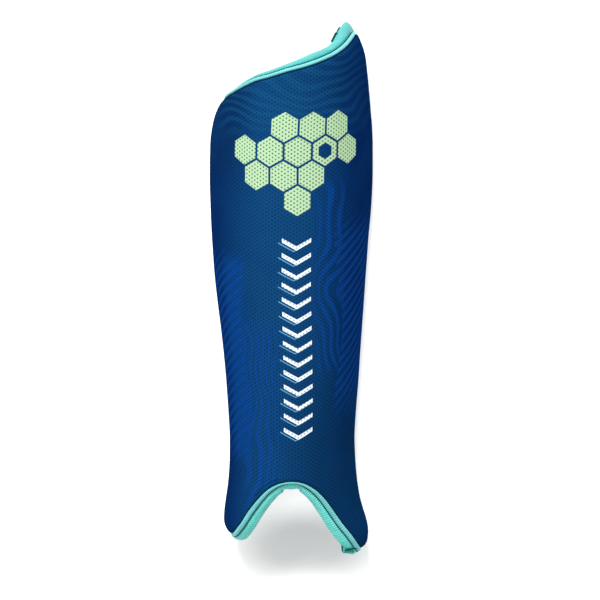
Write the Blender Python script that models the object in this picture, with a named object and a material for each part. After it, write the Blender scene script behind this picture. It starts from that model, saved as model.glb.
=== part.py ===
"""Field hockey shin guard for one leg: a curved front cover over its moulded shell, a thin piping
along the cover's edge, a foam pad inside and a padded rim that binds the pad's edge.

Every piece hangs on one surface, the cover's outer face. A place on it holds the turn about the
leg, in radians, 0 on the shin and positive to the right as seen from the front, then the height
above the lowest end of the cover, and then the rim share of the outline. Lengths are in metres.

The guard is modelled upright, as it is worn, with its front facing -Y, and then laid on the long
sides of its rim, front up and knee end towards +Y.
"""

import math

import bmesh
import bpy
from mathutils import Matrix, Vector

# The cover's outer face: its length, half its width, its depth from the shin to the sides, and how
# far its ends flare forwards.
COVER_LENGTH = 0.340
HALF_WIDTH = 0.0531
SECTION_DEPTH = 0.060
END_FLARE = 0.013

# The layers and the edge: the rim reaches past the cover's edge and laps in to the pad's edge.
COVER_THICKNESS = 0.0030
PAD_THICKNESS = 0.0070
PIPING_WIDTH = 0.0023
RIM_REACH = 0.0070
RIM_LAP = 0.0030
RIM_FLAT = 0.0008
GAP = 0.0003
LAYER_GAP = 0.0004

# How finely the pieces are divided. CORNER_DRAW is the length that one radian of bend counts as.
CELLS_ACROSS = 34
CELLS_ALONG = 26
RIM_ARC_STEPS = 5
PIPING_ARC_STEPS = 3
SPLINE_STEPS = 24
CORNER_DRAW = 0.020

# height: share of COVER_LENGTH. width: share of HALF_WIDTH. flare: share of END_FLARE, forwards.
# lean: share of HALF_WIDTH, to the right.
SECTION_COLUMNS = ("height", "width", "flare", "lean")
SECTIONS = (
    (0.000, 0.900, 1.00, 0.050),
    (0.012, 0.901, 0.90, 0.051),
    (0.024, 0.897, 0.81, 0.047),
    (0.037, 0.884, 0.71, 0.039),
    (0.055, 0.858, 0.59, 0.026),
    (0.075, 0.830, 0.46, 0.018),
    (0.110, 0.797, 0.27, 0.015),
    (0.150, 0.778, 0.12, 0.012),
    (0.190, 0.772, 0.03, 0.008),
    (0.240, 0.787, 0.00, 0.008),
    (0.300, 0.814, 0.00, 0.010),
    (0.350, 0.837, 0.00, 0.006),
    (0.400, 0.864, 0.00, 0.000),
    (0.460, 0.900, 0.00, -0.010),
    (0.520, 0.932, 0.00, -0.017),
    (0.580, 0.957, 0.00, -0.016),
    (0.640, 0.981, 0.00, -0.008),
    (0.700, 0.993, 0.00, -0.004),
    (0.760, 0.989, 0.02, -0.001),
    (0.795, 0.974, 0.05, 0.005),
    (0.820, 0.954, 0.07, 0.011),
    (0.850, 0.926, 0.11, 0.022),
    (0.890, 0.888, 0.18, 0.036),
    (0.930, 0.850, 0.28, 0.043),
    (0.957, 0.810, 0.35, 0.034),
    (0.980, 0.756, 0.41, 0.030),
    (1.000, 0.700, 0.46, 0.028),
)

# The cover's outline, one side at a time, each side ending where the next begins. turn: degrees
# about the leg. height: share of COVER_LENGTH. rim: how far the padded rim reaches past the
# outline there, as a share of RIM_REACH.
OUTLINE = {
    "bottom": (
        (-83, 0.0375, 0.64),
        (-78, 0.0338, 0.63),
        (-73, 0.0312, 0.62),
        (-68, 0.0291, 0.62),
        (-63, 0.0284, 0.62),
        (-60.4, 0.0297, 0.62),
        (-57.9, 0.0338, 0.63),
        (-49.6, 0.0541, 0.66),
        (-41.5, 0.0814, 0.70),
        (-31.5, 0.1090, 0.76),
        (-21.7, 0.1293, 0.80),
        (-12.1, 0.1405, 0.80),
        (-1.9, 0.1450, 0.80),
        (8.2, 0.1425, 0.80),
        (18.5, 0.1313, 0.80),
        (29, 0.1099, 0.76),
        (38.3, 0.0807, 0.70),
        (48, 0.0443, 0.64),
        (59.8, 0.0076, 0.57),
        (62.5, 0.0023, 0.56),
        (65.6, 0.0004, 0.55),
        (70, 0.0002, 0.55),
        (75, 0.0008, 0.57),
    ),
    "right": (
        (80, 0.0030, 0.60),
        (85, 0.0080, 0.64),
        (89.5, 0.0180, 0.68),
        (93.3, 0.0370, 0.72),
        (96.2, 0.0650, 0.74),
        (97.7, 0.1050, 0.75),
        (98, 0.1600, 0.75),
        (98, 0.2500, 0.75),
        (98, 0.3600, 0.75),
        (98, 0.4800, 0.75),
        (98, 0.6000, 0.75),
        (98, 0.7000, 0.75),
        (98, 0.7800, 0.75),
        (97.3, 0.8400, 0.77),
        (95.5, 0.8880, 0.81),
        (92.5, 0.9250, 0.86),
    ),
    "top": (
        (88.7, 0.9510, 0.92),
        (85, 0.9655, 0.97),
        (82.3, 0.9715, 1.00),
        (79, 0.9743, 1.00),
        (75, 0.9745, 1.00),
        (69, 0.9718, 1.00),
        (61.7, 0.9673, 1.00),
        (51.2, 0.9583, 0.95),
        (35.2, 0.9448, 0.78),
        (21, 0.9345, 0.68),
        (7.8, 0.9253, 0.62),
        (-6.4, 0.9165, 0.54),
        (-20.5, 0.9051, 0.48),
        (-31.7, 0.8968, 0.46),
        (-43.8, 0.8830, 0.45),
        (-55.4, 0.8685, 0.45),
        (-63.2, 0.8582, 0.47),
    ),
    "left": (
        (-70, 0.8465, 0.51),
        (-76.5, 0.8310, 0.56),
        (-82.5, 0.8110, 0.62),
        (-88, 0.7850, 0.67),
        (-92.5, 0.7520, 0.71),
        (-95.8, 0.7100, 0.74),
        (-97.5, 0.6550, 0.75),
        (-98, 0.5900, 0.75),
        (-98, 0.5000, 0.75),
        (-98, 0.4100, 0.75),
        (-98, 0.3200, 0.75),
        (-98, 0.2400, 0.75),
        (-98, 0.1750, 0.75),
        (-97, 0.1200, 0.75),
        (-94, 0.0800, 0.72),
        (-89, 0.0530, 0.68),
    ),
}

# piece: colour, roughness, metallic
MATERIALS = {
    "front_cover": ((0.006, 0.050, 0.150), 0.62, 0.0),
    "edge_piping": ((0.200, 0.750, 0.730), 0.70, 0.0),
    "padded_rim": ((0.130, 0.590, 0.550), 0.70, 0.0),
    "foam_pad": ((0.012, 0.050, 0.060), 0.85, 0.0),
}


def section_value(name, at):
    """A column's value at a height share, on a smooth curve with no overshoot between the rows."""
    column = SECTION_COLUMNS.index(name)
    places = [row[0] for row in SECTIONS]
    values = [row[column] for row in SECTIONS]
    spans = [b - a for a, b in zip(places, places[1:])]
    rises = [(b - a) / span for a, b, span in zip(values, values[1:], spans)]
    slopes = [rises[0]]
    for before, after in zip(rises, rises[1:]):
        turning = before * after <= 0
        slopes.append(0.0 if turning else 2 * before * after / (before + after))
    slopes.append(rises[-1])
    if at <= places[0]:
        return values[0] + slopes[0] * (at - places[0])
    if at >= places[-1]:
        return values[-1] + slopes[-1] * (at - places[-1])
    row = max(i for i, place in enumerate(places[:-1]) if place <= at)
    t = (at - places[row]) / spans[row]
    start = values[row] * (1 + 2 * t) * (1 - t) ** 2 + slopes[row] * spans[row] * t * (1 - t) ** 2
    end = values[row + 1] * t * t * (3 - 2 * t) - slopes[row + 1] * spans[row] * t * t * (1 - t)
    return start + end


def surface_point(place):
    """The point of the cover's outer face at a (turn, height)."""
    turn, height = place[:2]
    share = height / COVER_LENGTH
    width, flare, lean = (section_value(name, share) for name in SECTION_COLUMNS[1:])
    aside = HALF_WIDTH * (width * math.sin(turn) + lean)
    back = SECTION_DEPTH * (1 - math.cos(turn)) - END_FLARE * flare
    return Vector((aside, back, height))


def surface_slopes(place):
    """How the point moves with the turn and with the height."""
    turn, height = place[:2]
    step_turn = 0.001
    step_height = 0.001 * COVER_LENGTH
    by_turn = surface_point((turn + step_turn, height)) - surface_point((turn - step_turn, height))
    by_height = surface_point((turn, height + step_height)) - surface_point((turn, height - step_height))
    return by_turn / (2 * step_turn), by_height / (2 * step_height)


def surface_normal(place):
    """The direction out of the cover's face, away from the leg."""
    by_turn, by_height = surface_slopes(place)
    return by_turn.cross(by_height).normalized()


def point_below(place, depth):
    """The point that lies a depth inside the cover's outer face."""
    return surface_point(place) - depth * surface_normal(place)


def spaced_places(path, cells):
    """Places along a fine path, its two ends included. They lie evenly on the surface, drawn
    closer together where the path bends."""
    points = [surface_point(place) for place in path]
    steps = [b - a for a, b in zip(points, points[1:])]
    bends = [0.0] + [a.angle(b) for a, b in zip(steps, steps[1:])]
    run = [0.0]
    for step, bend in zip(steps, bends):
        run.append(run[-1] + step.length + CORNER_DRAW * bend)
    places = []
    at = 0
    for cell in range(cells):
        target = run[-1] * cell / cells
        while run[at + 1] < target:
            at += 1
        t = (target - run[at]) / (run[at + 1] - run[at])
        places.append(path[at].lerp(path[at + 1], t))
    return places + [path[-1]]


def outline_sides():
    """The outline's four sides as fine paths, each ending where the next begins."""
    rows = [(side, row) for side in OUTLINE for row in OUTLINE[side]]
    places = [Vector((math.radians(turn), height * COVER_LENGTH, rim)) for side, (turn, height, rim) in rows]
    spans = []
    for i, place in enumerate(places):
        spans.append((surface_point(place) - surface_point(places[i - 1])).length)
    drifts = [(place - places[i - 1]) / spans[i] for i, place in enumerate(places)]
    slopes = []
    for i, drift in enumerate(drifts):
        after = (i + 1) % len(rows)
        slopes.append((drift * spans[after] + drifts[after] * spans[i]) / (spans[i] + spans[after]))
    fine = {side: [] for side in OUTLINE}
    for i, (side, row) in enumerate(rows):
        after = (i + 1) % len(rows)
        for step in range(SPLINE_STEPS):
            t = step / SPLINE_STEPS
            start = places[i] * (1 + 2 * t) + slopes[i] * spans[after] * t
            end = places[after] * (3 - 2 * t) - slopes[after] * spans[after] * (1 - t)
            fine[side].append(start * (1 - t) ** 2 + end * t**2)
    names = list(OUTLINE)
    return {name: fine[name] + fine[names[(k + 1) % len(names)]][:1] for k, name in enumerate(names)}


def outline_loop():
    """The whole outline as one closed list of places, CELLS_ACROSS to each end and CELLS_ALONG to
    each long side."""
    sides = outline_sides()
    cells = {"bottom": CELLS_ACROSS, "right": CELLS_ALONG, "top": CELLS_ACROSS, "left": CELLS_ALONG}
    return [place for side in OUTLINE for place in spaced_places(sides[side], cells[side])[:-1]]


def outward_steps(loop):
    """For each place of a loop, how the place changes for each metre out of the loop."""
    steps = []
    for i, place in enumerate(loop):
        along = surface_point(loop[(i + 1) % len(loop)]) - surface_point(loop[i - 1])
        outward = along.cross(surface_normal(place)).normalized()
        by_turn, by_height = surface_slopes(place)
        skew = by_turn.dot(by_height)
        turn_size = by_turn.length_squared
        height_size = by_height.length_squared
        scale = turn_size * height_size - skew * skew
        turn_part = outward.dot(by_turn)
        height_part = outward.dot(by_height)
        turned = (turn_part * height_size - height_part * skew) / scale
        raised = (height_part * turn_size - turn_part * skew) / scale
        steps.append(Vector((turned, raised, 0)))
    return steps


def moved_in(loop, distance):
    """The loop moved inwards along the surface by a distance."""
    return [place - distance * step for place, step in zip(loop, outward_steps(loop))]


def patch_place(loop, across, along):
    """The place at a share across and a share along the area that a loop bounds, as a Coons patch."""
    column = round(across * CELLS_ACROSS)
    row = round(along * CELLS_ALONG)
    right_start = CELLS_ACROSS
    top_start = right_start + CELLS_ALONG
    left_start = top_start + CELLS_ACROSS
    bottom = loop[column]
    top = loop[left_start - column]
    right = loop[right_start + row]
    left = loop[(left_start + CELLS_ALONG - row) % len(loop)]
    lower = loop[0].lerp(loop[right_start], across)
    upper = loop[left_start].lerp(loop[top_start], across)
    return bottom.lerp(top, along) + left.lerp(right, across) - lower.lerp(upper, along)


def layer(name, loop, depth, thickness):
    """A shell that fills a loop, its outer face at a depth inside the cover's outer face."""
    grid = bmesh.new()
    bmesh.ops.create_grid(grid, x_segments=CELLS_ACROSS, y_segments=CELLS_ALONG, size=1.0)
    doubled = bmesh.ops.extrude_face_region(grid, geom=grid.faces[:], use_keep_orig=True)
    inner = {item for item in doubled["geom"] if isinstance(item, bmesh.types.BMVert)}
    for vertex in grid.verts:
        across = (vertex.co.x + 1) / 2
        along = (vertex.co.y + 1) / 2
        below = depth + thickness if vertex in inner else depth
        vertex.co = point_below(patch_place(loop, across, along), below)
    bmesh.ops.triangulate(grid, faces=grid.faces[:], quad_method="SHORT_EDGE")
    bmesh.ops.recalc_face_normals(grid, faces=grid.faces)
    if grid.calc_volume(signed=True) < 0:
        bmesh.ops.reverse_faces(grid, faces=grid.faces)
    mesh = bpy.data.meshes.new(name)
    grid.to_mesh(mesh)
    grid.free()
    return finished(bpy.data.objects.new(name, mesh))


def edge_band(name, loop, profile):
    """A closed band along a loop. Its profile gives (outward, depth) pairs for a place's rim share,
    from the back round the outside to the front."""
    steps = outward_steps(loop)
    sections = [profile(place.z) for place in loop]
    corners = len(sections[0])
    bpy.ops.mesh.primitive_torus_add(major_segments=len(loop), minor_segments=corners)
    piece = bpy.context.object
    for owner in piece.users_collection:
        owner.objects.unlink(piece)
    piece.name = name
    piece.data.name = name
    for index, vertex in enumerate(piece.data.vertices):
        around, corner = divmod(index, corners)
        outward, depth = sections[around][corner]
        vertex.co = point_below(loop[around] + outward * steps[around], depth)
    return finished(piece)


def press_flat(piece):
    """Flattens the hindmost edge of a piece, as its own weight does where it rests."""
    rest = max(vertex.co.y for vertex in piece.data.vertices) - RIM_FLAT
    for vertex in piece.data.vertices:
        vertex.co.y = min(vertex.co.y, rest)


def finished(piece):
    """Gives a piece its material and smooth shading, and puts it in the guard's collection."""
    colour, roughness, metallic = MATERIALS[piece.name]
    material = bpy.data.materials.new(piece.name)
    material.use_nodes = True
    shader = material.node_tree.nodes["Principled BSDF"]
    shader.inputs["Base Color"].default_value = (*colour, 1.0)
    shader.inputs["Roughness"].default_value = roughness
    shader.inputs["Metallic"].default_value = metallic
    material.diffuse_color = (*colour, 1.0)
    piece.data.materials.append(material)
    piece.data.shade_smooth()
    piece.data.set_sharp_from_angle(angle=math.radians(50))
    bpy.data.collections["shin_guard"].objects.link(piece)
    return piece


def piping_profile(rim):
    """A quarter round beside the cover's edge face, the same at every rim share."""
    arc = [math.radians(90) * step / PIPING_ARC_STEPS for step in range(PIPING_ARC_STEPS + 1)]
    curve = [(GAP + PIPING_WIDTH * math.cos(a), COVER_THICKNESS * (1 - math.sin(a))) for a in arc]
    return [(GAP, COVER_THICKNESS)] + curve


def rim_profile(rim):
    """A padded rim as thick as the pad, half round on its outside, lapping inwards to the pad."""
    radius = PAD_THICKNESS / 2
    front = COVER_THICKNESS + LAYER_GAP
    centre = RIM_REACH * rim - radius
    arc = [math.radians(180) * step / RIM_ARC_STEPS for step in range(RIM_ARC_STEPS + 1)]
    curve = [(centre + radius * math.sin(a), front + radius + radius * math.cos(a)) for a in arc]
    return [(-RIM_LAP, front + PAD_THICKNESS)] + curve + [(-RIM_LAP, front)]


def clear_scene():
    for old in list(bpy.data.objects):
        bpy.data.objects.remove(old)


def lay_down(pieces):
    """Turns the upright guard onto its back edges and centres it on the origin, resting at Z = 0."""
    laid = Matrix.Rotation(math.radians(-90), 4, "X")
    points = [laid @ vertex.co for piece in pieces for vertex in piece.data.vertices]
    low = [min(point[k] for point in points) for k in range(3)]
    high = [max(point[k] for point in points) for k in range(3)]
    shift = Vector((-(low[0] + high[0]) / 2, -(low[1] + high[1]) / 2, -low[2]))
    root = bpy.data.objects.new("shin_guard_root", None)
    bpy.data.collections["shin_guard"].objects.link(root)
    root.matrix_world = Matrix.Translation(shift) @ laid
    for piece in pieces:
        piece.parent = root


def main():
    clear_scene()
    collection = bpy.data.collections.new("shin_guard")
    bpy.context.scene.collection.children.link(collection)
    edge = outline_loop()
    pad_edge = moved_in(edge, RIM_LAP + LAYER_GAP)
    cover = layer("front_cover", edge, 0.0, COVER_THICKNESS)
    piping = edge_band("edge_piping", edge, piping_profile)
    rim = edge_band("padded_rim", edge, rim_profile)
    press_flat(rim)
    pad = layer("foam_pad", pad_edge, COVER_THICKNESS + LAYER_GAP, PAD_THICKNESS)
    lay_down([cover, piping, rim, pad])


main()
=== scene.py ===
"""The looks of a field hockey shin guard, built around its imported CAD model.

The cover's outer face is one surface. A place on it holds the turn about the leg, in radians, 0 on
the shin and positive to the right, then the height above the cover's lowest end, and then the rim
share of the outline. Each piece is made of points at a place and a depth inside that surface. Each
also carries a cloth map, in metres: how far a point lies round the leg and along it, or along a band
and round its profile. The materials draw their weave, ribs and print on that map.
"""

import math

import bmesh
import bpy
import numpy as np
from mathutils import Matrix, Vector


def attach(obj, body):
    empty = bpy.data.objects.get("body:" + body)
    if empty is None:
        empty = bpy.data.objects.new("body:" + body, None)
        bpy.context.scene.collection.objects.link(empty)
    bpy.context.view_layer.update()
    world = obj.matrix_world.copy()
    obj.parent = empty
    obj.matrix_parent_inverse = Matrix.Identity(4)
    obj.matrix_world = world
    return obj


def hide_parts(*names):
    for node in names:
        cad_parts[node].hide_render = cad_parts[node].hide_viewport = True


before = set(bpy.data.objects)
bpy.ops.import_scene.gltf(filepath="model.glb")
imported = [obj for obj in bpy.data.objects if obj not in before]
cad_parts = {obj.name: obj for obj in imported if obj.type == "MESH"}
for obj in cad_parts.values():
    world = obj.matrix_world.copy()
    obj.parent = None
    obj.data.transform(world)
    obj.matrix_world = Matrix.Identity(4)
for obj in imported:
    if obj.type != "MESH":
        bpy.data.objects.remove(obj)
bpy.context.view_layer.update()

MM = 0.001

# The sizes of the CAD model that the surface and the layers follow.
COVER_LENGTH = 0.340
HALF_WIDTH = 0.0531
SECTION_DEPTH = 0.060
END_FLARE = 0.013
RIM_REACH = 0.0070

# The move that lays the guard down as the CAD model lies.
LIFT = (0.0001948, -0.1656404, 0.0716518)

# Each layer's cells across and along, the steps of the outline from one of its places to the next,
# and how strongly its bends draw the cells together, in metres for each radian.
COVER_CELLS = (150, 200)
LINING_CELLS = (80, 100)
SPLINE_STEPS = 24
CORNER_DRAW = 0.020

RIB_PITCH = 1.6 * MM

# height: share of COVER_LENGTH. width: share of HALF_WIDTH. flare: share of END_FLARE, forwards.
# lean: share of HALF_WIDTH, to the right.
SECTION_COLUMNS = ("height", "width", "flare", "lean")
SECTIONS = (
    (0.000, 0.900, 1.00, 0.050),
    (0.012, 0.901, 0.90, 0.051),
    (0.024, 0.897, 0.81, 0.047),
    (0.037, 0.884, 0.71, 0.039),
    (0.055, 0.858, 0.59, 0.026),
    (0.075, 0.830, 0.46, 0.018),
    (0.110, 0.797, 0.27, 0.015),
    (0.150, 0.778, 0.12, 0.012),
    (0.190, 0.772, 0.03, 0.008),
    (0.240, 0.787, 0.00, 0.008),
    (0.300, 0.814, 0.00, 0.010),
    (0.350, 0.837, 0.00, 0.006),
    (0.400, 0.864, 0.00, 0.000),
    (0.460, 0.900, 0.00, -0.010),
    (0.520, 0.932, 0.00, -0.017),
    (0.580, 0.957, 0.00, -0.016),
    (0.640, 0.981, 0.00, -0.008),
    (0.700, 0.993, 0.00, -0.004),
    (0.760, 0.989, 0.02, -0.001),
    (0.795, 0.974, 0.05, 0.005),
    (0.820, 0.954, 0.07, 0.011),
    (0.850, 0.926, 0.11, 0.022),
    (0.890, 0.888, 0.18, 0.036),
    (0.930, 0.850, 0.28, 0.043),
    (0.957, 0.810, 0.35, 0.034),
    (0.980, 0.756, 0.41, 0.030),
    (1.000, 0.700, 0.46, 0.028),
)

# The cover's outline, one side at a time. turn: degrees. height: share of COVER_LENGTH. rim: how far
# the padded rim reaches past the outline, as a share of RIM_REACH.
OUTLINE = {
    "bottom": (
        (-83, 0.0375, 0.64), (-78, 0.0338, 0.63), (-73, 0.0312, 0.62), (-68, 0.0291, 0.62),
        (-63, 0.0284, 0.62), (-60.4, 0.0297, 0.62), (-57.9, 0.0338, 0.63), (-49.6, 0.0541, 0.66),
        (-41.5, 0.0814, 0.70), (-31.5, 0.1090, 0.76), (-21.7, 0.1293, 0.80), (-12.1, 0.1405, 0.80),
        (-1.9, 0.1450, 0.80), (8.2, 0.1425, 0.80), (18.5, 0.1313, 0.80), (29, 0.1099, 0.76),
        (38.3, 0.0807, 0.70), (48, 0.0443, 0.64), (59.8, 0.0076, 0.57), (62.5, 0.0023, 0.56),
        (65.6, 0.0004, 0.55), (70, 0.0002, 0.55), (75, 0.0008, 0.57),
    ),
    "right": (
        (80, 0.0030, 0.60), (85, 0.0080, 0.64), (89.5, 0.0180, 0.68), (93.3, 0.0370, 0.72),
        (96.2, 0.0650, 0.74), (97.7, 0.1050, 0.75), (98, 0.1600, 0.75), (98, 0.2500, 0.75),
        (98, 0.3600, 0.75), (98, 0.4800, 0.75), (98, 0.6000, 0.75), (98, 0.7000, 0.75),
        (98, 0.7800, 0.75), (97.3, 0.8400, 0.80), (95.5, 0.8880, 0.92), (92.5, 0.9250, 1.10),
    ),
    "top": (
        (88.7, 0.9510, 1.30), (85, 0.9655, 1.45), (82.3, 0.9715, 1.48), (79, 0.9743, 1.40),
        (75, 0.9745, 1.22), (69, 0.9718, 1.07), (61.7, 0.9673, 0.87), (51.2, 0.9583, 0.67),
        (35.2, 0.9448, 0.70), (21, 0.9345, 0.74), (7.8, 0.9253, 0.66), (-6.4, 0.9165, 0.60),
        (-20.5, 0.9051, 0.64), (-31.7, 0.8968, 0.68), (-43.8, 0.8830, 0.74), (-55.4, 0.8685, 0.72),
        (-63.2, 0.8582, 0.62),
    ),
    "left": (
        (-70, 0.8465, 0.51), (-76.5, 0.8310, 0.56), (-82.5, 0.8110, 0.62), (-88, 0.7850, 0.67),
        (-92.5, 0.7520, 0.71), (-95.8, 0.7100, 0.74), (-97.5, 0.6550, 0.75), (-98, 0.5900, 0.75),
        (-98, 0.5000, 0.75), (-98, 0.4100, 0.75), (-98, 0.3200, 0.75), (-98, 0.2400, 0.75),
        (-98, 0.1750, 0.75), (-97, 0.1200, 0.75), (-94, 0.0800, 0.72), (-89, 0.0530, 0.68),
    ),
}


# The surface


def section_value(name, at):
    """A column's values at height shares, smooth and with no overshoot between the rows."""
    table = np.array(SECTIONS)
    places = table[:, 0]
    values = table[:, SECTION_COLUMNS.index(name)]
    spans = np.diff(places)
    rises = np.diff(values) / spans
    before, after = rises[:-1], rises[1:]
    rising = before * after > 0
    inner = np.where(rising, 2 * before * after / np.where(rising, before + after, 1.0), 0.0)
    slopes = np.concatenate([rises[:1], inner, rises[-1:]])
    row = np.clip(np.searchsorted(places, at, side="right") - 1, 0, len(spans) - 1)
    t = (at - places[row]) / spans[row]
    s = np.clip(t, 0.0, 1.0)
    start = values[row] * (1 + 2 * s) * (1 - s) ** 2 + slopes[row] * spans[row] * s * (1 - s) ** 2
    end = values[row + 1] * s * s * (3 - 2 * s) - slopes[row + 1] * spans[row] * s * s * (1 - s)
    beyond = np.where(t < 0, slopes[row], slopes[row + 1]) * (t - s) * spans[row]
    return start + end + beyond


def surface(places):
    """The points of the cover's outer face, laid down as the CAD model lies."""
    turn, height = places[..., 0], places[..., 1]
    width, flare, lean = (section_value(name, height / COVER_LENGTH) for name in SECTION_COLUMNS[1:])
    aside = HALF_WIDTH * (width * np.sin(turn) + lean)
    back = SECTION_DEPTH * (1 - np.cos(turn)) - END_FLARE * flare
    return np.stack([aside, height, -back], -1) + np.array(LIFT)


def surface_slopes(places):
    """How the point moves with the turn and with the height."""
    step = 0.001
    by_turn = np.array([step, 0.0, 0.0])
    by_height = np.array([0.0, step * COVER_LENGTH, 0.0])
    across = (surface(places + by_turn) - surface(places - by_turn)) / (2 * step)
    along = (surface(places + by_height) - surface(places - by_height)) / (2 * step * COVER_LENGTH)
    return across, along


def unit(vectors):
    """The vectors at a length of 1."""
    return vectors / np.linalg.norm(vectors, axis=-1, keepdims=True)


def normals(places):
    """The outer face's normals, outwards."""
    return unit(np.cross(*surface_slopes(places)))


def below(places, depth):
    """The points at depths inside the outer face."""
    return surface(places) - np.asarray(depth)[..., None] * normals(places)


def round_leg(places):
    """How far round the leg each place lies from the shin line, in metres, as a weighted sum."""
    turn, height = places[..., 0], places[..., 1]
    width = HALF_WIDTH * section_value("width", height / COVER_LENGTH)
    knots, weights = np.polynomial.legendre.leggauss(10)
    total = np.zeros_like(turn)
    for knot, weight in zip(knots, weights):
        t = turn * (1 + knot) / 2
        total += weight * np.hypot(width * np.cos(t), SECTION_DEPTH * np.sin(t))
    return total * turn / 2


def outline_path():
    """The whole outline as one fine closed path, and where each side starts on it."""
    rows = [row for side in OUTLINE.values() for row in side]
    knots = np.array([(math.radians(turn), height * COVER_LENGTH, rim) for turn, height, rim in rows])
    points = surface(knots)
    spans = np.linalg.norm(points - np.roll(points, 1, 0), axis=1)[:, None]
    drifts = (knots - np.roll(knots, 1, 0)) / spans
    next_spans, next_drifts, next_knots = (np.roll(a, -1, 0) for a in (spans, drifts, knots))
    slopes = (drifts * next_spans + next_drifts * spans) / (spans + next_spans)
    next_slopes = np.roll(slopes, -1, 0)
    t = (np.arange(SPLINE_STEPS) / SPLINE_STEPS)[None, :, None]
    spans, knots, slopes = next_spans[:, None], knots[:, None], slopes[:, None]
    start = knots * (1 + 2 * t) + slopes * spans * t
    end = next_knots[:, None] * (3 - 2 * t) - next_slopes[:, None] * spans * (1 - t)
    fine = start * (1 - t) ** 2 + end * t**2
    counts = [0] + [len(side) * SPLINE_STEPS for side in OUTLINE.values()]
    return fine.reshape(-1, 3), np.cumsum(counts)


def spaced(path, cells, draw=CORNER_DRAW):
    """Places along a fine path, evenly spaced but drawn closer together where the path bends."""
    steps = np.diff(surface(path), axis=0)
    lengths = np.linalg.norm(steps, axis=1)
    cosines = np.sum(steps[1:] * steps[:-1], axis=1) / (lengths[1:] * lengths[:-1])
    bends = np.concatenate([[0.0], np.arccos(np.clip(cosines, -1, 1))])
    run = np.concatenate([[0.0], np.cumsum(lengths + draw * bends)])
    targets = np.linspace(0, run[-1], cells + 1)
    return np.stack([np.interp(targets, run, path[:, k]) for k in range(3)], -1)


def outline_loop(across, along):
    """The outline as a closed loop, with as many cells on each end and each long side as given."""
    path, starts = outline_path()
    closed = np.concatenate([path, path[:1]])
    loops = []
    for side, cells in enumerate((across, along, across, along)):
        loops.append(spaced(closed[starts[side] : starts[side + 1] + 1], cells)[:-1])
    return np.concatenate(loops)


def outward_steps(loop):
    """For each place of a loop, how the place changes for each metre out of the loop."""
    points = surface(loop)
    ahead = np.roll(points, -1, 0) - np.roll(points, 1, 0)
    outward = unit(np.cross(ahead, normals(loop)))
    by_turn, by_height = surface_slopes(loop)
    skew = np.sum(by_turn * by_height, -1)
    turn_size = np.sum(by_turn**2, -1)
    height_size = np.sum(by_height**2, -1)
    scale = turn_size * height_size - skew**2
    turn_part = np.sum(outward * by_turn, -1)
    height_part = np.sum(outward * by_height, -1)
    turned = (turn_part * height_size - height_part * skew) / scale
    raised = (height_part * turn_size - turn_part * skew) / scale
    return np.stack([turned, raised, np.zeros_like(turned)], -1)


# Meshes


def new_piece(name, points, faces, cloth, material):
    """A smooth mesh piece with its cloth map. Its lowest points are pressed flat on the floor."""
    points[:, 2] = np.maximum(points[:, 2], 0.0)
    mesh = bpy.data.meshes.new(name)
    mesh.from_pydata(points.tolist(), [], faces.tolist())
    layer = mesh.uv_layers.new(name="cloth")
    corner = np.zeros(len(mesh.loops), np.int32)
    mesh.loops.foreach_get("vertex_index", corner)
    layer.data.foreach_set("uv", cloth[corner].astype(np.float32).ravel())
    mesh.materials.append(material)
    mesh.shade_smooth()
    piece = bpy.data.objects.new(name, mesh)
    bpy.context.scene.collection.objects.link(piece)
    return piece


def grid_faces(rows, columns, close_rows=False, close_columns=False):
    """The quads of a grid of points, numbered row by row."""
    row = np.arange(rows if close_rows else rows - 1)[:, None]
    column = np.arange(columns if close_columns else columns - 1)[None, :]
    next_row = (row + 1) % rows
    next_column = (column + 1) % columns
    corners = [row * columns + column, row * columns + next_column, next_row * columns + next_column]
    corners.append(next_row * columns + column)
    return np.stack(corners, -1).reshape(-1, 4)


def patch(loop, across, along):
    """The places of a grid that fills a loop, blended from its four sides, by rows from the bottom."""
    bottom = loop[: across + 1]
    right = loop[across : across + along + 1]
    top = loop[across + along : 2 * across + along + 1][::-1]
    left = np.concatenate([loop[2 * across + along :], loop[:1]])[::-1]
    s = np.linspace(0, 1, across + 1)[None, :, None]
    t = np.linspace(0, 1, along + 1)[:, None, None]
    edges = bottom[None] * (1 - t) + top[None] * t + left[:, None] * (1 - s) + right[:, None] * s
    corners = bottom[0] * (1 - s) * (1 - t) + bottom[-1] * s * (1 - t)
    corners = corners + top[0] * (1 - s) * t + top[-1] * s * t
    return edges - corners


def patch_border(across, along):
    """The numbers of a patch's border points, in the order of its loop."""
    width = across + 1
    bottom = np.arange(across)
    right = np.arange(along) * width + across
    top = along * width + across - np.arange(across)
    left = (along - np.arange(along)) * width
    return np.concatenate([bottom, right, top, left])


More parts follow.
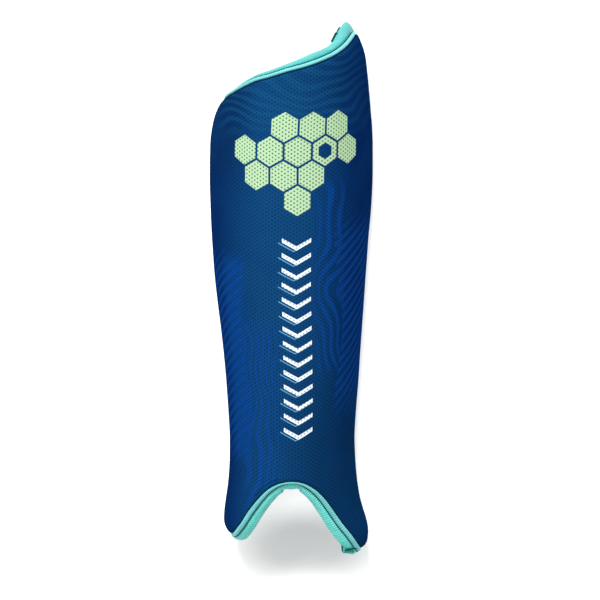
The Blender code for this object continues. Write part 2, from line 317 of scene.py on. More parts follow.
def layer_piece(name, edge, across, along, material):
    """A closed layer. edge holds (outward, depth) pairs in millimetres, from its front face round
    its edge to its back face."""
    loop = outline_loop(across, along)
    steps = outward_steps(loop)
    rings = [(loop + outward * MM * steps, depth * MM) for outward, depth in edge]
    border = patch_border(across, along)
    quads = grid_faces(along + 1, across + 1)
    size = (along + 1) * (across + 1)
    places = [patch(rings[0][0], across, along).reshape(-1, 3)]
    places.append(patch(rings[-1][0], across, along).reshape(-1, 3))
    depths = [np.full(size, rings[0][1]), np.full(size, rings[-1][1])]
    faces = [quads, quads[:, ::-1] + size]
    rows = [border]
    for number, (ring, depth) in enumerate(rings[1:-1]):
        rows.append(np.arange(len(ring)) + 2 * size + number * len(ring))
        places.append(ring)
        depths.append(np.full(len(ring), depth))
    rows.append(border + size)
    for inner, outer in zip(rows, rows[1:]):
        faces.append(np.stack([inner, outer, np.roll(outer, -1), np.roll(inner, -1)], -1))
    places = np.concatenate(places)
    points = below(places, np.concatenate(depths))
    cloth = np.stack([round_leg(places), places[:, 1]], -1)
    return new_piece(name, points, np.concatenate(faces), cloth, material)


def band_piece(name, loop, profile, material, ribs=None):
    """A closed band along a loop. profile gives arrays of outward and depth, one row for each place
    of the loop. ribs is (pitch, height) of ribs across the band."""
    points = surface(loop)
    run = np.concatenate([[0.0], np.cumsum(np.linalg.norm(np.diff(points, axis=0), axis=1))])
    outward, depth = profile(loop)
    steps = outward_steps(loop)
    facing = normals(loop)
    if ribs:
        pitch, height = ribs
        centre_out = outward.mean(1, keepdims=True)
        centre_deep = depth.mean(1, keepdims=True)
        reach = np.hypot(outward - centre_out, depth - centre_deep)
        swell = 1 + height * np.cos(2 * math.pi * run / pitch)[:, None] / reach
        outward = centre_out + (outward - centre_out) * swell
        depth = centre_deep + (depth - centre_deep) * swell
    places = loop[:, None] + outward[..., None] * steps[:, None]
    points = surface(places) - depth[..., None] * facing[:, None]
    corners = outward.shape[1]
    turns = np.hypot(np.diff(outward, axis=1), np.diff(depth, axis=1)).mean(0)
    girth = np.concatenate([[0.0], np.cumsum(turns)])
    cloth = np.stack(np.broadcast_arrays(run[:, None], girth[None, :]), -1)
    faces = grid_faces(len(loop), corners, close_rows=True, close_columns=True)
    piece = new_piece(name, points.reshape(-1, 3), faces, cloth.reshape(-1, 2), material)
    outside_out(piece)
    return piece


def outside_out(piece):
    """Turns a closed mesh's faces outwards."""
    shape = bmesh.new()
    shape.from_mesh(piece.data)
    bmesh.ops.recalc_face_normals(shape, faces=shape.faces)
    if shape.calc_volume(signed=True) < 0:
        bmesh.ops.reverse_faces(shape, faces=shape.faces)
    shape.to_mesh(piece.data)
    shape.free()


# Materials

# How bright the studio makes a white surface that faces it. Paint colours are divided by it.
LIGHT = 1.25


class Field:
    """A number or vector at each place of a material. Arithmetic on it adds the nodes for it."""

    def __init__(self, tree, output):
        self.tree = tree
        self.output = output

    def math(self, operation, *others):
        node = self.tree.nodes.new("ShaderNodeMath")
        node.operation = operation
        for socket, value in zip(node.inputs, (self, *others)):
            connect(self.tree, value, socket)
        return Field(self.tree, node.outputs[0])

    def __add__(self, other):
        return self.math("ADD", other)

    def __sub__(self, other):
        return self.math("SUBTRACT", other)

    def __mul__(self, other):
        return self.math("MULTIPLY", other)

    def __truediv__(self, other):
        return self.math("DIVIDE", other)

    def abs(self):
        return self.math("ABSOLUTE")

    def fraction(self):
        return self.math("FRACT")

    def least(self, other):
        return self.math("MINIMUM", other)

    def most(self, other):
        return self.math("MAXIMUM", other)

    def sine(self):
        return self.math("SINE")

    def length_with(self, other):
        return (self * self + other * other).math("SQRT")

    def fade(self, start, end, low=0.0, high=1.0):
        """low where the number is at start, high where it is at end, smooth between."""
        node = self.tree.nodes.new("ShaderNodeMapRange")
        node.interpolation_type = "SMOOTHSTEP"
        if start > end:
            start, end, low, high = end, start, high, low
        for socket, value in zip(node.inputs, (self, start, end, low, high)):
            connect(self.tree, value, socket)
        return Field(self.tree, node.outputs[0])


def connect(tree, value, socket):
    """Feeds a field into a socket, or sets the socket to a plain number or colour."""
    if isinstance(value, Field):
        tree.links.new(value.output, socket)
    elif isinstance(value, tuple):
        socket.default_value = (*value, 1.0)
    else:
        socket.default_value = value


def mixed(factor, first, second):
    """The first colour where the factor is 0, the second where it is 1."""
    node = factor.tree.nodes.new("ShaderNodeMix")
    node.data_type = "RGBA"
    connect(factor.tree, factor, node.inputs["Factor"])
    # The node's two colour sockets share their names with those for numbers and vectors.
    connect(factor.tree, first, node.inputs[6])
    connect(factor.tree, second, node.inputs[7])
    return Field(factor.tree, node.outputs[2])


def noise(across, along, scale, detail=2.0):
    """Soft noise from 0 to 1 on the cloth map. scale is in spots for each millimetre."""
    tree = across.tree
    joined = tree.nodes.new("ShaderNodeCombineXYZ")
    connect(tree, across, joined.inputs[0])
    connect(tree, along, joined.inputs[1])
    node = tree.nodes.new("ShaderNodeTexNoise")
    node.inputs["Scale"].default_value = scale
    node.inputs["Detail"].default_value = detail
    tree.links.new(joined.outputs[0], node.inputs["Vector"])
    return Field(tree, node.outputs["Fac"])


def paint(red, green, blue):
    """The paint that shows as this colour on the screen, 0 to 255, where it faces the light."""
    shares = [c / 255 for c in (red, green, blue)]
    lights = [c / 12.92 if c <= 0.04045 else ((c + 0.055) / 1.055) ** 2.4 for c in shares]
    return tuple(c / LIGHT for c in lights)


def new_material(name, roughness, sheen=0.0, specular=0.3):
    """A material, its shader, and its cloth map in millimetres as two fields."""
    material = bpy.data.materials.new(name)
    material.use_nodes = True
    tree = material.node_tree
    shader = tree.nodes["Principled BSDF"]
    shader.inputs["Roughness"].default_value = roughness
    shader.inputs["Specular IOR Level"].default_value = specular
    shader.inputs["Sheen Weight"].default_value = sheen
    shader.inputs["Sheen Roughness"].default_value = 0.4
    chart = tree.nodes.new("ShaderNodeUVMap")
    chart.uv_map = "cloth"
    split = tree.nodes.new("ShaderNodeSeparateXYZ")
    tree.links.new(chart.outputs[0], split.inputs[0])
    across = Field(tree, split.outputs[0]) * 1000.0
    along = Field(tree, split.outputs[1]) * 1000.0
    return material, shader, across, along


def raise_surface(shader, height, distance):
    """Bumps a shader by a height from 0 to 1, over a distance in metres."""
    tree = height.tree
    bump = tree.nodes.new("ShaderNodeBump")
    bump.inputs["Distance"].default_value = distance
    tree.links.new(height.output, bump.inputs["Height"])
    tree.links.new(bump.outputs[0], shader.inputs["Normal"])


# The cover's mesh and print. All places and sizes are in millimetres on the cloth map, first round
# the leg and then along it. A pair of places is where something starts to show and where it is whole.

COVER_COLOURS = {
    # Painted light and shade: the shin's colour is lighter, the sides' darker, where the cover turns
    # away.
    "shin": (15, 65, 111),
    "side": (6, 38, 90),
    "ankle": (9, 49, 88),
    "upper_left": (8, 42, 84),
    "left_patch": (11, 68, 136),
    "cloudy": (10, 54, 106),
    "wave": (20, 80, 122),
    "stroke": (12, 66, 146),
    # hole, cell_hole and chevron_hole are painted shade over the darker layer beneath; the next, a
    # painted highlight.
    "hole": (3, 18, 45),
    "yarn_highlight": (40, 105, 150),
    "cell": (178, 211, 170),
    "cell_hole": (88, 124, 92),
    "echo": (96, 160, 196),
    "chevron": (240, 248, 252),
    "chevron_hole": (90, 140, 170),
}

# How much of what lies below a colour it covers, where it shows in full. The toned areas below say
# it for their own colours, and the other colours cover it all.
STRENGTHS = {
    "left_patch": 0.6,
    "cloudy": 0.3,
    "wave": 0.4,
    "stroke": 0.68,
    "hole": 0.36,
    "yarn_highlight": 0.14,
    "chevron_hole": 0.7,
}

# The mesh's holes: rows one pitch apart, every second row moved by half a pitch. A hole is whole
# within its core and ends at its edge. The holes are dark with painted shade, over the darker layer
# beneath. The cloth rises over its rim and is painted palest between the holes, a painted highlight.
HOLE_PITCH_ACROSS = 4.0
HOLE_PITCH_ALONG = 2.5
HOLE_CORE = 0.38
HOLE_EDGE = 0.74
HOLE_RIM = (0.3, 0.85)
HOLE_DEPTH = 0.2 * MM
YARN_HIGHLIGHT_FROM_HOLE = (1.0, 1.5)

# Areas of the ground with a tone of their own. A zone holds its left, right, low and high border,
# and how soft they are.
TONED_AREAS = (
    # colour, across, along, strength
    ("ankle", (-25, 20), (160, 40), 0.9),
    ("upper_left", (-20, -45), (215, 275), 1.0),
)
LEFT_PATCH = (-52, -33, 60, 190, 7)

# The tonal stripes. share: how much of the pitch is stripe. blur: how soft its borders are, as a
# share of the pitch.
STRIPE_BLUR = 0.2
WAVE_PITCH, WAVE_SHARE = 6.5, 0.45
STREAK_PITCH, STREAK_SHARE = 6.0, 0.42
HATCH_PITCH, HATCH_SHARE = 5.6, 0.5
WAVES_FROM = (262, 285)
RIGHT_STREAKS = (17, 37, 120, 240, 7)
LEFT_STREAKS = (-36, -10, 30, 150, 8)

# How the stripes wander. The drift is soft noise. The lengths of sway and ripple are for each radian.
DRIFT_SCALE, DRIFT_REACH = 0.016, 60.0
SWAY_LENGTH, SWAY_REACH = 19.0, 4.0
RIPPLE_LENGTH, RIPPLE_REACH = 17.0, 5.0

# The two hatched areas: their inner border, their low end and their high end.
RIGHT_HATCH = ((33, 35), (80, 110), (225, 200))
LEFT_HATCH = ((-32, -34), (45, 80), (200, 175))

# The centres of the honeycomb's cells. The last cell is hollow.
CELL_BLUR = 0.2
CELL_REACH = 8.3
HOLLOW_REACH = 4.6
CELLS = (
    (-5, 277.0), (13, 277.0), (31, 277.0), (-32, 261.4), (-14, 261.4), (4, 261.4), (40, 261.4),
    (-23, 245.8), (-5, 245.8), (13, 245.8), (4, 230.2), (22, 261.4),
)

# The column of chevrons, and the thin echo that shows down to its left.
CHEVRON_MIDDLE = 4.0
CHEVRON_REACH = 9.3
CHEVRON_PITCH = 9.4
CHEVRON_SLOPE = 0.55
CHEVRON_STROKE = 2.7
STROKE_BLUR = 0.15
CHEVRON_LOW = 73.0
CHEVRON_COUNT = 14
ECHO_STROKE = 0.7
ECHO_SHIFT = 1.9
ECHO_REACH = 9.8


def cover_paint(name):
    """The paint of one of the cover's colours."""
    return paint(*COVER_COLOURS[name])


def hole_distance(across, along):
    """How far each place is from the nearest hole of the mesh, in millimetres."""
    nearest = None
    for shift in (0.0, 0.5):
        x = ((across / HOLE_PITCH_ACROSS + shift).fraction() - 0.5) * HOLE_PITCH_ACROSS
        y = ((along / HOLE_PITCH_ALONG + shift).fraction() - 0.5) * HOLE_PITCH_ALONG
        distance = x.length_with(y)
        nearest = distance if nearest is None else nearest.least(distance)
    return nearest


def hexagon_distance(across, along, centre):
    """How far each place is from a centre, counted so that equal distances form a hexagon."""
    x = (across - centre[0]).abs()
    y = (along - centre[1]).abs()
    return x.most(x * 0.5 + y * 0.866)


def honeycomb(across, along):
    """1 on the honeycomb's cells, 0 elsewhere."""
    nearest = None
    for cell in CELLS:
        distance = hexagon_distance(across, along, cell)
        nearest = distance if nearest is None else nearest.least(distance)
    last = hexagon_distance(across, along, CELLS[-1])
    hollow = last.fade(HOLLOW_REACH - CELL_BLUR, HOLLOW_REACH + CELL_BLUR)
    return nearest.fade(CELL_REACH + CELL_BLUR, CELL_REACH - CELL_BLUR) * hollow


def chevrons(across, along, thickness, shift=0.0, reach=CHEVRON_REACH):
    """1 on a column of chevrons with strokes that thick, 0 elsewhere. shift: down and to the left."""
    x = (across - (CHEVRON_MIDDLE - shift)).abs()
    up = along - (CHEVRON_LOW - shift)
    row = (up - x * CHEVRON_SLOPE) / CHEVRON_PITCH
    from_stroke = ((row.fraction() - 0.5) * CHEVRON_PITCH).abs()
    stroke = from_stroke.fade(thickness / 2 + STROKE_BLUR, thickness / 2 - STROKE_BLUR)
    ends = x.fade(reach + STROKE_BLUR, reach - STROKE_BLUR)
    column = row.fade(-0.02, 0.0) * row.fade(CHEVRON_COUNT + 0.02, CHEVRON_COUNT)
    return stroke * ends * column


def stripes(place, pitch, share):
    """1 on stripes of a share of the pitch, 0 between them."""
    middle = ((place / pitch).fraction() - 0.5).abs() * 2.0
    return middle.fade(share + STRIPE_BLUR, share - STRIPE_BLUR)


def zone(across, along, borders):
    """1 inside a zone of the cloth map, fading to 0 over its soft borders."""
    left, right, low, high, soft = borders
    sides = across.fade(left - soft, left + soft) * across.fade(right + soft, right - soft)
    return sides * along.fade(low - soft, low + soft) * along.fade(high + soft, high - soft)


def hatched(across, along, area):
    """1 in a hatched area, 0 elsewhere."""
    border, low_end, high_end = area
    return across.fade(*border) * along.fade(*low_end) * along.fade(*high_end)


def cover_ground(across, along):
    """The ground's tones, with painted light and shade: lightest near the shin, darker on the sides."""
    ground = mixed((across + 8.0).abs().fade(10, 58), cover_paint("shin"), cover_paint("side"))
    for colour, sides, ends, strength in TONED_AREAS:
        area = along.fade(*ends) * across.fade(*sides) * strength
        ground = mixed(area, ground, cover_paint(colour))
    patched = zone(across, along, LEFT_PATCH) * STRENGTHS["left_patch"]
    ground = mixed(patched, ground, cover_paint("left_patch"))
    clouds = noise(across, along, 0.05, 3.0).fade(0.35, 0.7)
    return mixed(clouds * STRENGTHS["cloudy"], ground, cover_paint("cloudy"))


def with_stripes(ground, across, along):
    """The ground with waves at the top, streaks down each half and hatching at the sides."""
    drift = (noise(across, along, DRIFT_SCALE, 1.0) - 0.5) * DRIFT_REACH
    sway = (along / SWAY_LENGTH).sine() * SWAY_REACH
    wavy = along + drift * 0.8 + (across / RIPPLE_LENGTH).sine() * RIPPLE_REACH
    waves = stripes(wavy, WAVE_PITCH, WAVE_SHARE) * along.fade(*WAVES_FROM)
    weaker_aside = (across + 5.0).abs().fade(70, 30, 0.35, 1.0)
    ground = mixed(waves * STRENGTHS["wave"] * weaker_aside, ground, cover_paint("wave"))
    streaks = stripes(across + sway + drift, STREAK_PITCH, STREAK_SHARE)
    streaked = zone(across, along, RIGHT_STREAKS).most(zone(across, along, LEFT_STREAKS))
    hatch = stripes(along * 0.85 - across * 0.53 + drift * 0.08, HATCH_PITCH, HATCH_SHARE)
    right = hatched(across - sway, along, RIGHT_HATCH)
    left = hatched(across + sway, along, LEFT_HATCH)
    strokes = (streaks * streaked).most(hatch * right.most(left))
    return mixed(strokes * STRENGTHS["stroke"], ground, cover_paint("stroke"))


def with_print(cloth, hole, across, along):
    """The honeycomb and the chevrons printed on the cloth, with painted shade in the mesh's holes on
    both.
    """
    pale = mixed(hole, cover_paint("cell"), cover_paint("cell_hole"))
    cloth = mixed(honeycomb(across, along), cloth, pale)
    echo = chevrons(across, along, ECHO_STROKE, ECHO_SHIFT, ECHO_REACH)
    cloth = mixed(echo, cloth, cover_paint("echo"))
    white = mixed(hole * STRENGTHS["chevron_hole"], cover_paint("chevron"), cover_paint("chevron_hole"))
    return mixed(chevrons(across, along, CHEVRON_STROKE), cloth, white)


def cover_material():
    """Dark blue mesh, printed with tonal stripes, a pale honeycomb and a column of chevrons."""
    material, shader, across, along = new_material("printed_mesh", 0.7, specular=0.0)
    distance = hole_distance(across, along)
    hole = distance.fade(HOLE_EDGE, HOLE_CORE)
    ground = with_stripes(cover_ground(across, along), across, along)
    # Painted shade in the mesh's holes, then a painted highlight on the cloth between them.
    cloth = mixed(hole * STRENGTHS["hole"], ground, cover_paint("hole"))
    cloth = mixed(distance.fade(*YARN_HIGHLIGHT_FROM_HOLE) * STRENGTHS["yarn_highlight"], cloth, cover_paint("yarn_highlight"))
    cloth = with_print(cloth, hole, across, along)
    connect(across.tree, cloth, shader.inputs["Base Color"])
    raise_surface(shader, distance.fade(*HOLE_RIM), HOLE_DEPTH)
    return material


# Each tape's colour on the whole edge apart from the arch, and its colour on the arch. The arch's is
# painted light: lighter where the tape faces away from the lamps.
TAPE_COLOURS = {
    "lip_tape": ((117, 200, 204), (118, 206, 208)),
    "roll_tape": ((76, 180, 176), (116, 233, 222)),
    "fold_tape": ((66, 170, 162), (66, 170, 162)),
}

# Where the arch's painted light starts to show on a band's map and where it is whole, in
# millimetres along the band from the left end of the cover's bottom side.
ARCH_LIGHT_END = (200, 170)

# The colour of the tape's wear and of the painted shade along its ribs.
WEAR_AND_RIB_SHADE_COLOUR = (0.0, 0.12, 0.14)
RIB_BUMP = 0.2 * MM

# The lining's holes: their pitch, the distances from their middle between which their painted shade
# starts and is whole and the cloth rises, in millimetres, and their depth.
LINING_HOLE_PITCH = 9.0
LINING_HOLE_SHADE = (1.3, 0.9)
LINING_HOLE_RIM = (0.9, 1.6)
LINING_HOLE_DEPTH = 0.8 * MM


def tape_material(name):
    """Ribbed elastic tape: worn in places, painted shade along its ribs, painted light on the arch."""
    material, shader, along, around = new_material(name, 0.5)
    colour, lit_arch_colour = (paint(*shown) for shown in TAPE_COLOURS[name])
    rib = (along * (2 * math.pi / (RIB_PITCH / MM))).sine().fade(-1, 1)
    # Painted light: the tape on the arch is lighter.
    tone = mixed(along.fade(*ARCH_LIGHT_END), colour, lit_arch_colour)
    # Random wear, and painted shade in stripes along the ribs.
    wear_and_rib_shade = noise(along, around, 0.15).fade(0.3, 0.7) * 0.1 + rib * 0.12
    tone = mixed(wear_and_rib_shade, tone, WEAR_AND_RIB_SHADE_COLOUR)
    connect(along.tree, tone, shader.inputs["Base Color"])
    raise_surface(shader, rib, RIB_BUMP)
    return material


def lining_material():
    """Dark brushed cloth with small round holes in rows, darkened with painted shade."""
    material, shader, across, along = new_material("brushed_lining", 0.9, sheen=0.3)
    x = ((across / LINING_HOLE_PITCH).fraction() - 0.5) * LINING_HOLE_PITCH
    y = ((along / LINING_HOLE_PITCH).fraction() - 0.5) * LINING_HOLE_PITCH
    distance = x.length_with(y)
    # Painted shade in the holes.
    tone = mixed(distance.fade(*LINING_HOLE_SHADE), paint(20, 40, 52), paint(4, 9, 12))
    connect(across.tree, tone, shader.inputs["Base Color"])
    raise_surface(shader, distance.fade(*LINING_HOLE_RIM), LINING_HOLE_DEPTH)
    return material


def thread_material(name, red, green, blue):
    """Matt sewing thread, also used for dark lines of painted shade."""
    material, shader, _, _ = new_material(name, 0.8, specular=0.0)
    shader.inputs["Base Color"].default_value = (*paint(red, green, blue), 1.0)
    return material


# Profiles of the bands along the edge. Outward is counted from the cover's outline, depth from its
# outer face.

LIP_START = 0.1 * MM
LIP_SHOULDER = 1.25 * MM
LIP_RISE = 1.35 * MM
EDGE_FOOT = 3.1 * MM

# The turn of the arch's peak, in degrees, as each band sees it. A pair of turns further down is
# counted from it, and says where something starts and where it is whole.
LIP_PEAK = -2
THREAD_PEAK = -1
ROLL_PEAK = -1.2

# The lip's width on the top band, on the arch's legs and at the arch's peak, in millimetres.
TOP_LIP = 2.1
LEG_LIP = 3.1
PEAK_LIP = 1.3
LEG_LIP_TURNS = (18, 40)
PEAK_LIP_TURNS = (24, 4)

# How much of the lip is hidden on the long sides, and the turns, in degrees to that side, between
# which it goes under the cover's edge: at the low end, then at the top.
LIP_HIDDEN = 0.85
LIP_ENDS = (
    # side, at the low end, at the top
    (-1, (56, 66), (62, 73)),
    (1, (60, 69), (72, 86)),
)

# The seam thread's places and radii, and those of the dark line of painted shade along the cover's
# edge, in millimetres.
THREAD_GAP = 0.25
THREAD_DEPTH = 3.0
THREAD_RISE = 0.8
THREAD_SINK = 0.9
THREAD_SINK_TURNS = (15, 8)
THREAD_RADIUS = 0.36
THREAD_THINNING = 0.06
EDGE_SHADE_OUTWARD = -0.3
EDGE_SHADE_DEPTH = 0.62
EDGE_SHADE_RADIUS = 0.42
THREAD_SIDES = 6

ROLL_THICKNESS = 7.5 * MM
ROLL_CENTRE = 2.5 * MM
ROLL_LAP = 2.9 * MM
ROLL_LAP_DEPTH = 3.3 * MM
ROLL_FULLNESS = 0.8
ROLL_LEAST_BULGE = 2.0 * MM
ROLL_BACK_STEP = 0.1 * MM

# At the top right tip, between these turns in degrees, the roll gets thinner and comes forward.
TIP_TURNS = (66, 82)
TIP_THINNING = 2.0 * MM
TIP_RISE = 1.4 * MM

# The roll is gathered within the outer turns, and less and less towards the inner ones.
GATHER = 0.95 * MM
GATHER_OUTER = (14.4, 13.6)
GATHER_INNER = (1, 10)


def ramp(values, start, end):
    """0 up to the start, 1 from the end on, smooth between."""
    t = np.clip((values - start) / (end - start), 0, 1)
    return t * t * (3 - 2 * t)


def outline_parts(loop):
    """Each place's turn in degrees, and 1 on the loop's lower half, 0 on the upper."""
    return np.degrees(loop[:, 0]), (loop[:, 1] < 0.5 * COVER_LENGTH).astype(float)


def lip_share(loop):
    """How much of the lip stands out: all of it on the two ends, little on the long sides, where
    the cover's edge laps over it."""
    turn, low = outline_parts(loop)
    hidden = np.zeros_like(turn)
    for side, low_end, top_end in LIP_ENDS:
        faded = np.where(low > 0, ramp(side * turn, *low_end), ramp(side * turn, *top_end))
        hidden = np.maximum(hidden, faded)
    return 1 - LIP_HIDDEN * hidden


def lip_width(loop):
    """The lip's width, in millimetres."""
    turn, low = outline_parts(loop)
    aside = np.abs(turn - LIP_PEAK)
    on_legs = (LEG_LIP - TOP_LIP) * ramp(aside, *LEG_LIP_TURNS)
    at_peak = (PEAK_LIP - TOP_LIP) * ramp(aside, *PEAK_LIP_TURNS)
    return TOP_LIP + low * (on_legs + at_peak)


def lip_profile(loop):
    """The tape lip beside the cover's edge: half round in front, straight down to its foot."""
    share = lip_share(loop)[:, None]
    width = lip_width(loop)[:, None] * MM
    arc = np.linspace(math.pi, 0, 9)[None, :]
    foot = np.full_like(width, EDGE_FOOT)
    outward = np.concatenate([0 * foot, width / 2 * (1 + np.cos(arc)), width], 1)
    depth = np.concatenate([foot, LIP_SHOULDER - LIP_RISE * np.sin(arc) + 0 * foot, foot], 1)
    return LIP_START + outward * share, EDGE_FOOT - (EDGE_FOOT - depth) * share


def thread_profile(loop):
    """The dark seam thread in the groove between the lip and the roll. It sinks out of sight at the
    arch's peak."""
    share = lip_share(loop)[:, None]
    turn, low = outline_parts(loop)
    sunk = (low * ramp(np.abs(turn - THREAD_PEAK), *THREAD_SINK_TURNS))[:, None]
    radius = (THREAD_RADIUS - THREAD_THINNING * low)[:, None]
    arc = np.linspace(0, 2 * math.pi, THREAD_SIDES, endpoint=False)
    outward = THREAD_GAP + lip_width(loop)[:, None] * share + radius * np.cos(arc)
    depth = THREAD_DEPTH - THREAD_RISE * share + THREAD_SINK * sunk + radius * np.sin(arc)
    return outward * MM, depth * MM


def edge_shade_profile(loop):
    """A dark line along the cover's edge, beside the lip: painted shade."""
    arc = np.linspace(0, 2 * math.pi, THREAD_SIDES, endpoint=False)
    rows = np.zeros((len(loop), 1))
    outward = (EDGE_SHADE_OUTWARD + EDGE_SHADE_RADIUS * np.cos(arc)) * MM + rows
    depth = (EDGE_SHADE_DEPTH + EDGE_SHADE_RADIUS * np.sin(arc)) * MM + rows
    return outward, depth


def roll_reach(loop):
    """How far the roll reaches past the outline. It is gathered at the arch's peak."""
    turn, low = outline_parts(loop)
    aside = np.abs(turn - ROLL_PEAK)
    gathered = ramp(aside, *GATHER_OUTER) * ramp(aside, *GATHER_INNER) * low
    return (RIM_REACH * loop[:, 2] - GATHER * gathered)[:, None]


def roll_profile(loop):
    """The padded roll outside the lip, rounder and wider the further it reaches. At the top right
    tip it is thinner and comes forward."""
    reach = roll_reach(loop)
    turn, low = outline_parts(loop)
    tip = (ramp(turn, *TIP_TURNS) * (1 - low))[:, None]
    thickness = ROLL_THICKNESS - TIP_THINNING * tip
    front = EDGE_FOOT - TIP_RISE * tip
    centre = np.minimum(ROLL_CENTRE, reach - ROLL_LEAST_BULGE)
    arc = np.linspace(0, math.pi, 13)[None, :]
    outward = centre + (reach - centre) * np.sin(arc) ** ROLL_FULLNESS
    across = np.sign(np.cos(arc)) * np.abs(np.cos(arc)) ** ROLL_FULLNESS
    depth = front + thickness / 2 * (1 - across)
    lap = np.full_like(reach, -ROLL_LAP)
    lap_depth = np.full_like(reach, ROLL_LAP_DEPTH)
    outward = np.concatenate([lap, outward, lap], 1)
    depth = np.concatenate([lap_depth, depth, front + thickness - ROLL_BACK_STEP], 1)
    return outward, depth


# Small parts

TUBE_SIDES = 16

# Dark marks on the roll's inner side, then two dark lines of painted shade: along the seam where it
# turns under the folded tape end, and along that end's curled edge. Each has its two ends' points in
# metres and its radius in millimetres.
DARK_MARKS = (
    ("tip_dark_mark", (0.0297, 0.1665, 0.0240), (0.0309, 0.1687, 0.0240), 1.0),
    ("side_dark_mark", (0.0263, 0.1622, 0.0400), (0.0285, 0.1667, 0.0400), 1.2),
    ("fold_seam_shade", (0.0350, -0.1657, 0.0566), (0.0424, -0.1645, 0.0560), 0.5),
    ("curl_edge_shade", (0.0327, -0.1632, 0.0560), (0.0331, -0.1664, 0.0556), 0.4),
)

# The folded tape end under the arch's right leg: its two ends' points and their radii.
TAPE_END = ((0.0346, -0.1664, 0.0540), (0.0400, -0.1680, 0.0540), 2.0 * MM, 1.0 * MM)


def capsule_line(start, end, start_radius, end_radius):
    """The points and radii of a tube from start to end with round ends."""
    start, end = np.array(start), np.array(end)
    along = unit(end - start)
    arc = np.linspace(0.08, math.pi / 2, 7)
    before = [start - along * start_radius * math.cos(a) for a in arc]
    after = [end + along * end_radius * math.cos(a) for a in arc[::-1]]
    radii = [start_radius * math.sin(a) for a in arc] + [end_radius * math.sin(a) for a in arc[::-1]]
    return before + after, radii


def capsule_piece(name, start, end, start_radius, end_radius, material):
    """A closed round tube from start to end with round ends."""
    points, radii = capsule_line(start, end, start_radius, end_radius)
    points = np.array(points)
    ahead = unit(np.gradient(points, axis=0))
    aside = unit(np.cross(ahead, np.array([0.0, 0.0, 1.0]) + 0 * ahead))
    up = np.cross(aside, ahead)
    arc = np.linspace(0, 2 * math.pi, TUBE_SIDES, endpoint=False)[None, :, None]
    circle = np.cos(arc) * aside[:, None] + np.sin(arc) * up[:, None]
    rings = points[:, None] + circle * np.array(radii)[:, None, None]
    faces = grid_faces(len(points), TUBE_SIDES, close_columns=True)
    run = np.concatenate([[0.0], np.cumsum(np.linalg.norm(np.diff(points, axis=0), axis=1))])
    around = np.linspace(0, 2 * math.pi * max(radii), TUBE_SIDES)
    cloth = np.stack(np.broadcast_arrays(run[:, None], around[None, :]), -1)
    piece = new_piece(name, rings.reshape(-1, 3), faces, cloth.reshape(-1, 2), material)
    shape = bmesh.new()
    shape.from_mesh(piece.data)
    bmesh.ops.holes_fill(shape, edges=[e for e in shape.edges if e.is_boundary])
    shape.to_mesh(piece.data)
    shape.free()
    outside_out(piece)
    return piece


# The scene

# Each layer's edge, from its front face to its back face: outward and depth, in millimetres.
COVER_EDGE = (
    (-3.0, 0.0), (-2.2, 0.03), (-1.5, 0.12), (-0.9, 0.35), (-0.45, 0.7), (-0.12, 1.3), (0.0, 2.0),
    (0.0, 3.0), (-3.0, 3.0),
)
LINING_EDGE = ((-5.0, 3.4), (-3.8, 3.5), (-3.4, 4.2), (-3.4, 9.6), (-3.8, 10.3), (-5.0, 10.4))

RIBBED_SPACING = 0.3 * MM
SMOOTH_SPACING = 0.8 * MM
LIP_RIBS = (RIB_PITCH, 0.05 * MM)
ROLL_RIBS = (RIB_PITCH, 0.07 * MM)

# The camera: its target, counted from LIFT, how far off it stands, how far it looks down the guard,
# in degrees, how wide the picture is at the target, and how far the picture's middle lies to the
# right of the target and above it, in pixels.
CAMERA_TARGET = (0.0, 0.170, -0.030)
CAMERA_DISTANCE = 2.0
CAMERA_PITCH = 10
PICTURE_WIDTH = 0.3849
PICTURE_PIXELS = 600
PIXELS_ASIDE = 8.5
PIXELS_UP = -13

# Each lamp's name, place, size in metres and power in watts. They point at the origin.
LAMPS = (
    ("key", (-0.22, 1.07, 1.06), 0.5, 29),
    ("fill", (-0.2, -0.3, 1.6), 1.0, 9),
)
SKY_STRENGTH = 0.44

# Half the floor's width in metres, its glow, and the oval that the glow spares: its middle and half
# widths, in millimetres, and the shares of them between which the glow starts.
FLOOR_REACH = 3.0
FLOOR_GLOW = 0.5
SPARED_MIDDLE = (9.0, -178.0)
SPARED_HALF_WIDTHS = (34.0, 17.0)
SPARED_BORDER = (0.6, 2.0)


def dense_loop(spacing):
    """The outline as a closed loop of evenly spaced places."""
    path, _ = outline_path()
    closed = np.concatenate([path, path[:1]])
    length = np.linalg.norm(np.diff(surface(closed), axis=0), axis=1).sum()
    return spaced(closed, round(length / spacing), draw=0.0)[:-1]


def make_layers():
    """The cover, and the lining inside it."""
    cover = layer_piece("cover_mesh", COVER_EDGE, *COVER_CELLS, cover_material())
    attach(cover, "root")
    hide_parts("front_cover")
    lining = layer_piece("lining", LINING_EDGE, *LINING_CELLS, lining_material())
    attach(lining, "root")
    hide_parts("foam_pad")


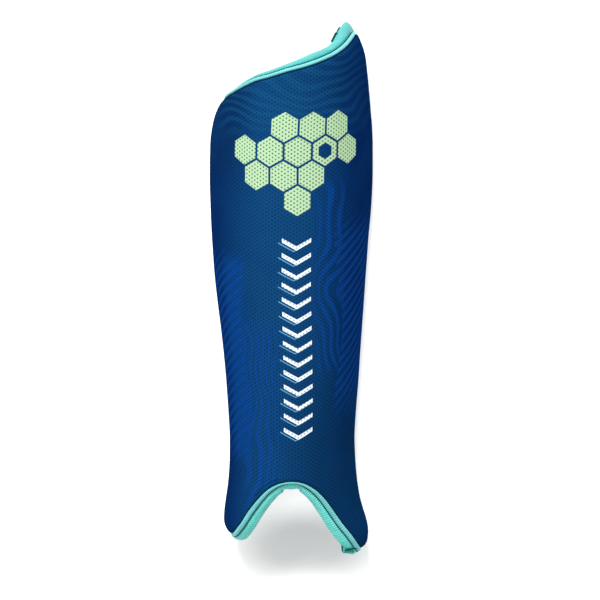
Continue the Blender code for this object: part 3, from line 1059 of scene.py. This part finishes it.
def make_edge():
    """The lip, the roll, the seam thread, a line of painted shade, and the small parts on the edge."""
    ribbed = dense_loop(RIBBED_SPACING)
    smooth = dense_loop(SMOOTH_SPACING)
    lip = band_piece("tape_lip", ribbed, lip_profile, tape_material("lip_tape"), LIP_RIBS)
    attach(lip, "root")
    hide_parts("edge_piping")
    roll = band_piece("rim_roll", ribbed, roll_profile, tape_material("roll_tape"), ROLL_RIBS)
    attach(roll, "root")
    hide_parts("padded_rim")
    # Dark green seam thread, darkened partly as painted shade of its groove; also used for the dark
    # marks and lines.
    seam = thread_material("seam_thread", 2, 80, 70)
    thread = band_piece("seam_thread", smooth, thread_profile, seam)
    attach(thread, "root")
    fold = capsule_piece("tape_end", *TAPE_END, tape_material("fold_tape"))
    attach(fold, "root")
    # Dark marks, and dark lines of painted shade at the folded tape end.
    for name, start, end, radius in DARK_MARKS:
        dark_piece = capsule_piece(name, start, end, radius * MM, radius * MM, seam)
        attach(dark_piece, "root")
    # A dark line of painted shade along the cover's edge, beside the lip.
    dark = thread_material("cover_edge_shade", 0, 46, 66)
    edge_shade_line = band_piece("cover_edge_shade", smooth, edge_shade_profile, dark)
    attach(edge_shade_line, "root")


def make_camera():
    """A camera that sees the guard from the front, in the photograph's frame."""
    camera = bpy.data.objects.new("camera", bpy.data.cameras.new("camera"))
    bpy.context.scene.collection.objects.link(camera)
    pitch = math.radians(CAMERA_PITCH)
    back = Vector((0, math.sin(pitch), math.cos(pitch)))
    camera.location = Vector(LIFT) + Vector(CAMERA_TARGET) + CAMERA_DISTANCE * back
    camera.rotation_euler = (-pitch, 0, 0)
    camera.data.lens = camera.data.sensor_width * CAMERA_DISTANCE / PICTURE_WIDTH
    camera.data.shift_x = PIXELS_ASIDE / PICTURE_PIXELS
    camera.data.shift_y = PIXELS_UP / PICTURE_PIXELS
    bpy.context.scene.camera = camera


def make_floor():
    """A pale floor that glows softly, apart from the place between the guard's legs, so that the
    main shadow that the light leaves on it is the one there."""
    mesh = bpy.data.meshes.new("floor")
    size = FLOOR_REACH
    corners = [(-size, -size, 0), (size, -size, 0), (size, size, 0), (-size, size, 0)]
    mesh.from_pydata(corners, [], [(0, 1, 2, 3)])
    layer = mesh.uv_layers.new(name="cloth")
    layer.data.foreach_set("uv", [value for corner in corners for value in corner[:2]])
    floor = bpy.data.objects.new("floor", mesh)
    bpy.context.scene.collection.objects.link(floor)
    material, shader, across, along = new_material("floor", 0.9, specular=0.0)
    shader.inputs["Base Color"].default_value = (0.9, 0.9, 0.9, 1)
    shader.inputs["Emission Color"].default_value = (1, 1, 1, 1)
    x = (across - SPARED_MIDDLE[0]) / SPARED_HALF_WIDTHS[0]
    y = (along - SPARED_MIDDLE[1]) / SPARED_HALF_WIDTHS[1]
    glow = x.length_with(y).fade(*SPARED_BORDER, 0.0, FLOOR_GLOW)
    connect(across.tree, glow, shader.inputs["Emission Strength"])
    mesh.materials.append(material)


def make_lights():
    """Two soft lamps and an even white sky."""
    for name, place, size, power in LAMPS:
        lamp = bpy.data.lights.new(name, "AREA")
        lamp.size = size
        lamp.energy = power
        light = bpy.data.objects.new(name, lamp)
        bpy.context.scene.collection.objects.link(light)
        light.location = place
        light.rotation_euler = (-Vector(place)).to_track_quat("-Z", "Y").to_euler()
    world = bpy.data.worlds.new("studio")
    world.use_nodes = True
    world.node_tree.nodes["Background"].inputs["Color"].default_value = (1, 1, 1, 1)
    world.node_tree.nodes["Background"].inputs["Strength"].default_value = SKY_STRENGTH
    bpy.context.scene.world = world
    bpy.context.scene.view_settings.view_transform = "Standard"


make_layers()
make_edge()
make_camera()
make_floor()
make_lights()
